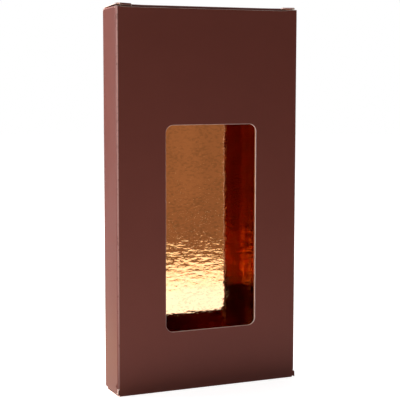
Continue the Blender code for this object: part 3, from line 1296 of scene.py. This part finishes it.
@dataclass
class Sleeve:
    """The glued tube: front with its window, back, two sides and the seam flap."""

    # Each bottom corner of the front: its side, its pale strip (crease wear and a painted highlight)
    # and the turn of its tab
    CORNERS = ((-1, 0.3 * MM, 45 * DEGREE), (1, 0.0, 85 * DEGREE))
    TAB_DROP = 0.5 * MM
    TAB_END = 1.1
    # How much paler the left side's half of its front crease is painted, as crease wear and a painted
    # highlight
    LEFT_FADE = 0.1

    sizes: CartonSizes
    posture: Posture
    laminate: Laminate
    body: str = "sleeve"

    def build(self) -> None:
        """Make every wall."""
        self._front()
        self._back()
        self._left()
        self._right()
        self._seam()

    def _finish(
        self, node: str, outlines: list[list[Corner]], folds: list[Fold], place: Matrix,
    ) -> None:
        """Fill, bend, place and dress one wall."""
        self.laminate.panel(node, Sheet(outlines, folds).put(place, self.posture.wall), self.body)

    def _window(self) -> list[Corner]:
        """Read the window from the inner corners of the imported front.

        Returns:
            Its corners.
        """
        sizes = self.sizes
        inner = [
            vertex.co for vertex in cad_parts["front_panel"].data.vertices
            if abs(vertex.co.x) < sizes.flat_side - sizes.window_margin
            and 2 * sizes.fold < vertex.co.z < sizes.panel_top - sizes.window_margin
        ]
        across = [point.x for point in inner]
        up = [point.z for point in inner]
        return rectangle(min(across), max(across), min(up), max(up), sizes.window_corner)

    def _front(self) -> None:
        """The front: bent to both sides, with its bottom corners slit and sprung out."""
        sizes = self.sizes
        side, top, slit = sizes.flat_side, sizes.panel_top, sizes.corner_slit
        edge = [
            (-side, sizes.fold, 0), (side, sizes.fold, 0), (side, slit, 0),
            (side, top, 0), (-side, top, 0), (-side, slit, 0),
        ]
        folds = [Fold((0, -1), 0.0, (-side, side), sizes.fold, turn=0.0)]
        for sign, bead, turn in self.CORNERS:
            folds.append(Fold((sign, 0), sizes.side, (slit, top), sizes.fold, bead=bead))
            folds.append(Fold(
                (sign, 0), sizes.side, (sizes.fold, slit), sizes.fold, turn=turn,
                joined=False, sprung=(slit, self.TAB_END * slit), drop=self.TAB_DROP,
            ))
        place = facing((1, 0, 0), (0, 0, 1), (0, -sizes.depth, 0))
        self._finish("front_panel", [edge, self._window()], folds, place)

    def _back(self) -> None:
        """The back: bent to the left side, its cut edge glued over the seam flap."""
        sizes = self.sizes
        side, seam = sizes.flat_side, sizes.seam_cut
        low = sizes.closed_top - sizes.panel_top
        high = sizes.closed_top - sizes.fold
        edge = [(-seam, low, 0), (side, low, 0), (side, high, 0), (-side, high, 0), (-seam, high, 0)]
        folds = [
            Fold((1, 0), sizes.side, (low, high), sizes.fold),
            Fold((0, 1), sizes.closed_top, (-side, side), sizes.fold, turn=0.0),
        ]
        place = facing((-1, 0, 0), (0, 0, 1), (0, sizes.depth, 0))
        self._finish("back_panel", [edge], folds, place)

    def _side_levels(self) -> tuple[float, float]:
        """Return where the creases at a side panel's bottom and top begin."""
        sizes = self.sizes
        return sizes.closed_top - sizes.side_top + sizes.fold, sizes.side_top - sizes.fold

    def _dust_roots(self, low: float, high: float) -> list[Fold]:
        """Find where a side panel's two dust flaps begin.

        Args:
            low: the start of the top one's crease across the flat panel.
            high: its end.

        Returns:
            The top crease and the bottom one, which is turned end for end.
        """
        sizes = self.sizes
        return [
            Fold((0, 1), sizes.side_top, (low, high), sizes.fold, turn=0.0),
            Fold((0, -1), sizes.side_top - sizes.closed_top, (-high, -low), sizes.fold, turn=0.0),
        ]

    def _left(self) -> None:
        """The left side: bent to the front and to the back."""
        sizes = self.sizes
        low, high = self._side_levels()
        near = sizes.depth - sizes.fold
        lock, free = sizes.dust_lock, sizes.dust_free
        # Local X points at the viewer, so a place in depth changes sign
        edge = [
            (-near, low, 0), (-lock, low, 0), (free, low, 0), (near, low, 0),
            (near, sizes.corner_slit, 0), (near, high, 0),
            (lock, high, 0), (-free, high, 0), (-near, high, 0),
        ]
        folds = [
            Fold((1, 0), sizes.depth, (sizes.corner_slit, high), sizes.fold, fade=self.LEFT_FADE),
            Fold((-1, 0), sizes.depth, (low, high), sizes.fold),
            *self._dust_roots(-free, lock),
        ]
        place = facing((0, -1, 0), (0, 0, 1), (-sizes.side, 0, 0))
        self._finish("left_side_panel", [edge], folds, place)

    def _right(self) -> None:
        """The right side: bent to the front and to the seam flap behind the back."""
        sizes = self.sizes
        low, high = self._side_levels()
        near = sizes.depth - sizes.fold
        cut = sizes.depth - sizes.wall - sizes.seam_gap
        seam = sizes.seam_face - sizes.fold
        seam_low, seam_high = sizes.flap_low, sizes.closed_top - sizes.flap_low
        lock, free, slit = sizes.dust_lock, sizes.dust_free, sizes.slit
        edge = [
            (-near, low, 0), (-free, low, 0), (lock, low, 0), (cut, low, 0),
            (cut, seam_low - slit, 0), (seam, seam_low - slit, 0), (seam, seam_low, 0),
            (seam, seam_high, 0), (seam, seam_high + slit, 0), (cut, seam_high + slit, 0),
            (cut, high, 0), (free, high, 0), (-lock, high, 0), (-near, high, 0),
            (-near, sizes.corner_slit, 0),
        ]
        folds = [
            Fold((-1, 0), sizes.depth, (sizes.corner_slit, high), sizes.fold),
            Fold((1, 0), sizes.seam_face, (seam_low, seam_high), sizes.fold),
            *self._dust_roots(-lock, free),
        ]
        place = facing((0, 1, 0), (0, 0, 1), (sizes.side, 0, 0))
        self._finish("right_side_panel", [edge], folds, place)

    def _seam(self) -> None:
        """The flap that is glued inside the back."""
        sizes = self.sizes
        low, high = sizes.flap_low, sizes.closed_top - sizes.flap_low
        root, tip, taper = -sizes.flat_side, -sizes.seam_tip, sizes.glue_taper
        edge = [(root, low, 0), (tip, low + taper, 0), (tip, high - taper, 0), (root, high, 0)]
        folds = [Fold((-1, 0), sizes.side, (low, high), sizes.fold)]
        place = facing((-1, 0, 0), (0, 0, 1), (0, sizes.seam_face, 0))
        self._finish("glue_flap", [edge], folds, place)


@dataclass(frozen=True)
class Lip:
    """How one locking end of the top closure is bent down along its cut edge.

    Attributes:
        back: how far the flat part stops short of where a plain lip's would.
        turn: of the bend.
        fade: how far its print is painted paler; on the right lip this is a painted highlight where it
            catches the light.
    """

    back: float
    turn: float
    fade: float


@dataclass
class ClosedEnd:
    """One tuck-in end: closure, tuck flap, two dust flaps and the four creases that move."""

    # The top's left and right lip, the right one painted pale as a highlight, and the flat start of a
    # crease's strip
    LIPS = (Lip(0.33 * MM, 88 * DEGREE, 0.0), Lip(0.18 * MM, 70 * DEGREE, 1.0))
    LIP_RADIUS = 0.52 * MM
    STRIP = 0.02 * MM
    # How much paler a dust flap's crease is painted, as crease wear and a painted highlight
    DUST_FADE = 0.5

    end: End
    sizes: CartonSizes
    posture: Posture
    laminate: Laminate

    def build(self) -> None:
        """Make the flaps and their creases."""
        self._closure()
        self._tuck()
        for side, sign in (("left", -1), ("right", 1)):
            self._dust(side, sign)

    @property
    def turned(self) -> Matrix:
        """Find the matrix that carries the top end to this one.

        Returns:
            The matrix.
        """
        if self.end is End.TOP:
            return Matrix.Identity(4)
        return Matrix.Translation((0, 0, self.sizes.closed_top)) @ Matrix.Rotation(math.pi, 4, "X")

    def _name(self, word: str) -> str:
        """Return a name with this end's word before it."""
        return f"{self.end.value}_{word}"

    def _flap(
        self, node: str, outline: list[Corner], folds: list[Fold], place: Matrix, settle: Settle,
    ) -> None:
        """Fill, place and dress one flap; its body has the node's name without the last word.

        Args:
            node: its CAD node, without the end's word.
            outline: of the flat flap.
            folds: along its edges.
            place: its matrix at the top end.
            settle: how it relaxes.
        """
        body = self._name(node).rsplit("_", 1)[0]
        sheet = Sheet([outline], folds).put(self.turned @ place, settle)
        self.laminate.panel(self._name(node), sheet, body)

    def _crease(
        self, name: str, root: Fold, place: Matrix, settle: Settle, bodies: tuple[str, str],
    ) -> None:
        """Make a crease that moves, as a strip over the whole bend.

        Args:
            name: of the crease, without the end's word.
            root: where the bend begins, in the flat panel that place stands up.
            place: that panel's matrix at the top end.
            settle: how the strip relaxes.
            bodies: what it joins, first the one that the flat panel is not.
        """
        reach, near = root.start, root.start - self.STRIP
        start, end = root.span
        normal = root.outward
        corners = [
            normal * out + root.along * across
            for out, across in ((near, start), (reach, start), (reach, end), (near, end))
        ]
        whole = replace(root, turn=90 * DEGREE)
        seam = Fold(tuple(-normal.xy), -near, root.span, 0.0, turn=0.0)
        sheet = Sheet([[(corner.x, corner.y, 0) for corner in corners]], [whole, seam])
        wall = self.sizes.wall
        flat_end = normal * reach - Vector((0, 0, wall))
        far_end = normal * (reach + root.radius - wall) - Vector((0, 0, root.radius))
        placed = self.turned @ place
        ends = (placed @ far_end, placed @ flat_end)
        self.laminate.crease(self._name(name), sheet.put(placed, settle), bodies, ends)

    def _closure(self) -> None:
        """The closure, with slits that leave its locking ends over the front's cut edge."""
        sizes = self.sizes
        hinge = sizes.depth - sizes.fold
        tuck = -sizes.tuck_face + sizes.fold
        cover = -sizes.depth + sizes.wall + sizes.cover
        root, end, lock = sizes.flat_side, sizes.closure_end, sizes.lock_root
        slit = lock + sizes.slit + sizes.lock_gap
        lips = self.LIPS if self.end is End.TOP else ()
        left, right = ([
            (-root, hinge, 0), (-end, hinge - sizes.relief, 0),
            (-end, cover + back, sizes.closure_corner), (-slit, cover + back, 0),
            (-slit, tuck, 0), (-lock, tuck, 0),
        ] for back in ([lip.back for lip in lips] or (0.0, 0.0)))
        crease = Fold((0, 1), sizes.depth, (-root, root), sizes.fold, turn=0.0)
        folds = [crease, Fold((0, -1), sizes.tuck_face, (-lock, lock), sizes.fold, turn=0.0)]
        # Each lip's bend is painted paler by its fade; on the right lip that is a painted highlight
        for lip, span in zip(lips, ((-end, -slit), (slit, end))):
            folds.append(Fold(
                (0, -1), self.LIP_RADIUS - cover, span, self.LIP_RADIUS + lip.back,
                turn=lip.turn, joined=False, fade=lip.fade,
            ))
        place = facing((1, 0, 0), (0, 1, 0), (0, 0, sizes.closed_top))
        self._flap("closure_panel", left + mirrored(right), folds, place, self.posture.closure)
        bodies = ("sleeve", self._name("closure"))
        self._crease("closure_crease", crease, place, self.posture.closure, bodies)

    def _tuck(self) -> None:
        """The tuck flap with its shoulders, and the crease between the slits."""
        sizes = self.sizes
        root = sizes.closed_top - sizes.fold
        end, lock = sizes.tuck_end, sizes.lock_root
        left = [(-lock, root, 0), (-end, root, 0), (-end, sizes.tuck_tip, sizes.tuck_corner)]
        crease = Fold((0, 1), sizes.closed_top, (-lock, lock), sizes.fold, turn=0.0)
        place = facing((1, 0, 0), (0, 0, 1), (0, -sizes.tuck_face, 0))
        self._flap("tuck_flap", left + mirrored(left), [crease], place, self.posture.tuck)
        bodies = (self._name("closure"), self._name("tuck"))
        self._crease("tuck_fold", crease, place, self.posture.tuck, bodies)

    def _dust(self, side: str, sign: int) -> None:
        """One dust flap, with a locking shoulder on the side of the tuck and a taper behind.

        Args:
            side: its word in the names.
            sign: -1 at the left, 1 at the right.
        """
        sizes = self.sizes
        root = -sizes.flat_side
        neck = root + sizes.dust_neck
        tip, front, back = sizes.dust_tip, -sizes.dust_lock, sizes.dust_free
        shoulder = front + sizes.dust_shoulder
        outline = [
            (root, back, 0), (root, front, 0), (neck, front, 0),
            (neck + sizes.dust_shoulder, shoulder, 0), (tip, shoulder, sizes.dust_corner),
            (tip, back - sizes.dust_taper, sizes.dust_corner), (neck, back, 0),
        ]
        outline = outline if sign < 0 else mirrored(outline)
        crease = Fold((sign, 0), sizes.side, (front, back), sizes.fold, turn=0.0, fade=self.DUST_FADE)
        place = facing((1, 0, 0), (0, 1, 0), (0, 0, sizes.side_top))
        self._flap(f"{side}_dust_flap", outline, [crease], place, self.posture.dust)
        bodies = ("sleeve", self._name(f"{side}_dust"))
        self._crease(f"{side}_dust_fold", crease, place, self.posture.dust, bodies)


@dataclass(frozen=True)
class Softbox:
    """An area lamp with a plain white face.

    Attributes:
        name: of the lamp.
        place: its middle.
        aim: the point that it faces.
        size: width and height.
        power: in watts.
        mirrored: whether shiny surfaces show it.
    """

    name: str
    place: Place
    aim: Place
    size: Range
    power: float
    mirrored: bool = True

    def build(self) -> None:
        """Hang the lamp."""
        data = bpy.data.lights.new(self.name, "AREA")
        data.shape = "RECTANGLE"
        data.size, data.size_y = self.size
        data.energy = self.power
        lamp = linked(self.name, data)
        lamp.location = self.place
        ahead = Vector(self.aim) - Vector(self.place)
        lamp.rotation_euler = ahead.to_track_quat("-Z", "Y").to_euler()
        lamp.visible_camera = False
        lamp.visible_glossy = self.mirrored


@dataclass
class Studio:
    """White ground, soft lamps, the dark drape in front and the camera.

    Attributes:
        ambient: strength of the plain light from all round.
        floor_shade: how bright the camera sees the floor near the carton and far off.
        floor_shine: how bright mirrors see it.
        shine_centre: the middle of that bright patch, from which all the ranges are measured.
        shade_range, shine_range: where the shade changes, and where the shine fades out.
        warm_range: where the patch turns to warm_color in mirrors.
        drape_start, drape_end: distance from the carton to the drape's foot and to its top.
    """

    # Rows and columns of the drape, its span round the carton, and its gap to the floor
    DRAPE_ROWS = 12
    DRAPE_COLUMNS = 32
    DRAPE_SPAN = 220 * DEGREE
    DRAPE_LIFT = 1 * MM

    # Scale, detail, stretch and range of the drape's folds, and its levels of light
    FOLDS = (14.0, 3.0)
    FOLD_STRETCH = (1.0, 1.0, 0.12)
    FOLD_RANGE = (0.25, 0.75)
    FOLD_LEVELS = (0.8, 1.2)

    ambient: float = 0.03
    floor_radius: float = 2.2
    floor_color: Color = (0.85, 0.85, 0.85, 1.0)
    floor_roughness: float = 0.9
    floor_shade: Range = (0.86, 1.0)
    shade_range: Range = (0.25, 0.8)
    floor_shine: float = 1.25
    shine_centre: Place = (0.04, -0.10, 0.0)
    shine_range: Range = (0.22, 0.40)
    warm_color: Color = (1.0, 0.78, 0.42, 1.0)
    warm_range: Range = (0.08, 0.18)
    drape_start: float = 0.305
    drape_end: float = 0.62
    drape_height: float = 0.9
    drape_color: Color = (0.32, 0.155, 0.078, 1.0)
    camera_place: Place = (-0.19592, -0.44611, 0.13197)
    camera_azimuth: float = 23.635 * DEGREE
    camera_pitch: float = -6.103 * DEGREE
    camera_roll: float = 0.072 * DEGREE
    focal_length: float = 103.03
    sensor_width: float = 36.0
    clip: Range = (0.01, 20.0)

    def build(self) -> None:
        """Set up the whole studio."""
        self._world()
        self._floor()
        self._drape()
        patch = (0.10, -0.1255)
        for lamp in (
            Softbox("side_softbox", (-0.70, 0.50, 0.30), (0.0, 0.0, 0.08), (0.5, 0.6), 8.7),
            Softbox("fold_softbox", (-0.78, -0.20, 0.25), (0.0, 0.0, 0.08), (0.2, 0.6), 2.6),
            Softbox("floor_softbox", (*patch, 0.003), (*patch, 1.0), (0.58, 0.205), 0.29, False),
            Softbox("top_softbox", (0.0, 0.31, 0.9), (0.0, 0.0, 0.1), (0.6, 0.6), 3.6),
        ):
            lamp.build()
        self._camera()
        scene = bpy.context.scene
        scene.view_settings.view_transform = "Standard"
        scene.cycles.max_bounces = 16
        scene.cycles.glossy_bounces = 14

    def _world(self) -> None:
        """White where it is seen, and a plain light elsewhere."""
        world = bpy.data.worlds.new("white_ground")
        bpy.context.scene.world = world
        world.use_nodes = True
        work = NodeWork(world.node_tree)
        share = work.node("ShaderNodeLightPath").outputs["Is Camera Ray"]
        level = work.math("ADD", self.ambient, work.math("MULTIPLY", share, 1.0 - self.ambient))
        work.fill(world.node_tree.nodes["Background"], Color=WHITE, Strength=level)

    @staticmethod
    def _surface(material: Material, work: NodeWork, shader: Node) -> None:
        """Make a shader the surface of a material."""
        work.fill(material.node_tree.nodes["Material Output"], Surface=shader.outputs[0])

    def _floor(self) -> None:
        """A white floor that shows white and keeps the carton's soft shadow."""
        bpy.ops.mesh.primitive_circle_add(vertices=64, radius=self.floor_radius, fill_type="NGON")
        floor = bpy.context.object
        floor.name = "floor"
        material, work, shader = new_material("white_floor")
        work.fill(shader, Base_Color=self.floor_color, Roughness=self.floor_roughness)
        work.fill(shader, Specular_IOR_Level=0.0)
        path = work.node("ShaderNodeLightPath").outputs
        mirror_share = work.math("MAXIMUM", path["Is Glossy Ray"], path["Is Transmission Ray"])
        centre = self.shine_centre
        reach = work.combined("ShaderNodeVectorMath", "DISTANCE", work.place(), centre).outputs["Value"]
        shine = work.ranged(reach, self.shine_range, (self.floor_shine, 0.0))
        warmth = work.math("MULTIPLY", mirror_share, work.ranged(reach, self.warm_range))
        shade = work.ranged(reach, self.shade_range, self.floor_shade)
        seen = work.math("MULTIPLY", path["Is Camera Ray"], shade)
        level = work.math("ADD", seen, work.math("MULTIPLY", mirror_share, shine))
        color = work.mix(warmth, WHITE, self.warm_color)
        glow = work.node("ShaderNodeEmission", Color=color, Strength=level)
        both = work.node("ShaderNodeAddShader")
        for socket, part in zip(both.inputs, (shader, glow)):
            work.feed(socket, part.outputs[0])
        self._surface(material, work, both)
        floor.data.materials.append(material)

    def _drape(self) -> None:
        """A dim warm drape that rises from the floor in front, for the foil to mirror."""
        surface = bmesh.new()
        rows = []
        for step in range(self.DRAPE_ROWS + 1):
            rise = step / self.DRAPE_ROWS * 90 * DEGREE
            reach = self.drape_start + (self.drape_end - self.drape_start) * math.sin(rise)
            height = self.DRAPE_LIFT + self.drape_height * (1 - math.cos(rise))
            row = []
            for column in range(self.DRAPE_COLUMNS + 1):
                angle = self.DRAPE_SPAN * (column / self.DRAPE_COLUMNS - 0.5)
                place = (math.sin(angle) * reach, -math.cos(angle) * reach, height)
                row.append(surface.verts.new(place))
            rows.append(row)
        for lower, upper in zip(rows, rows[1:]):
            for one in range(self.DRAPE_COLUMNS):
                surface.faces.new((lower[one], lower[one + 1], upper[one + 1], upper[one]))
        mesh = bpy.data.meshes.new("front_drape")
        surface.to_mesh(mesh)
        surface.free()
        drape = linked("front_drape", mesh)
        drape.visible_camera = False
        drape.visible_shadow = False
        drape.visible_diffuse = False
        material, work, shader = new_material("dim_drape")
        material.node_tree.nodes.remove(shader)
        folds = work.noise(work.stretched(work.place(), self.FOLD_STRETCH), *self.FOLDS)
        level = work.ranged(folds, self.FOLD_RANGE, self.FOLD_LEVELS)
        glow = work.node("ShaderNodeEmission", Color=self.drape_color, Strength=level)
        self._surface(material, work, glow)
        mesh.materials.append(material)

    def _camera(self) -> None:
        """The camera at the photo's viewing angle."""
        data = bpy.data.cameras.new("camera")
        data.lens = self.focal_length
        data.sensor_width = self.sensor_width
        data.clip_start, data.clip_end = self.clip
        camera = linked("camera", data)
        level = math.cos(self.camera_pitch)
        ahead = Vector((
            math.sin(self.camera_azimuth) * level, math.cos(self.camera_azimuth) * level,
            math.sin(self.camera_pitch),
        ))
        camera.location = self.camera_place
        turn = ahead.to_track_quat("-Z", "Y").to_matrix() @ Matrix.Rotation(self.camera_roll, 3, "Z")
        camera.rotation_euler = turn.to_euler()
        bpy.context.scene.camera = camera


def main() -> None:
    """Dress the carton and light it."""
    logging.basicConfig(level=logging.INFO, format="%(name)s: %(message)s")
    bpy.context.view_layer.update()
    sizes = CartonSizes.from_frame()
    posture = Posture(sizes)
    laminate = Laminate()
    Sleeve(sizes, posture, laminate).build()
    for end in End:
        ClosedEnd(end, sizes, posture, laminate).build()
    Studio().build()


if __name__ == "__main__":
    main()
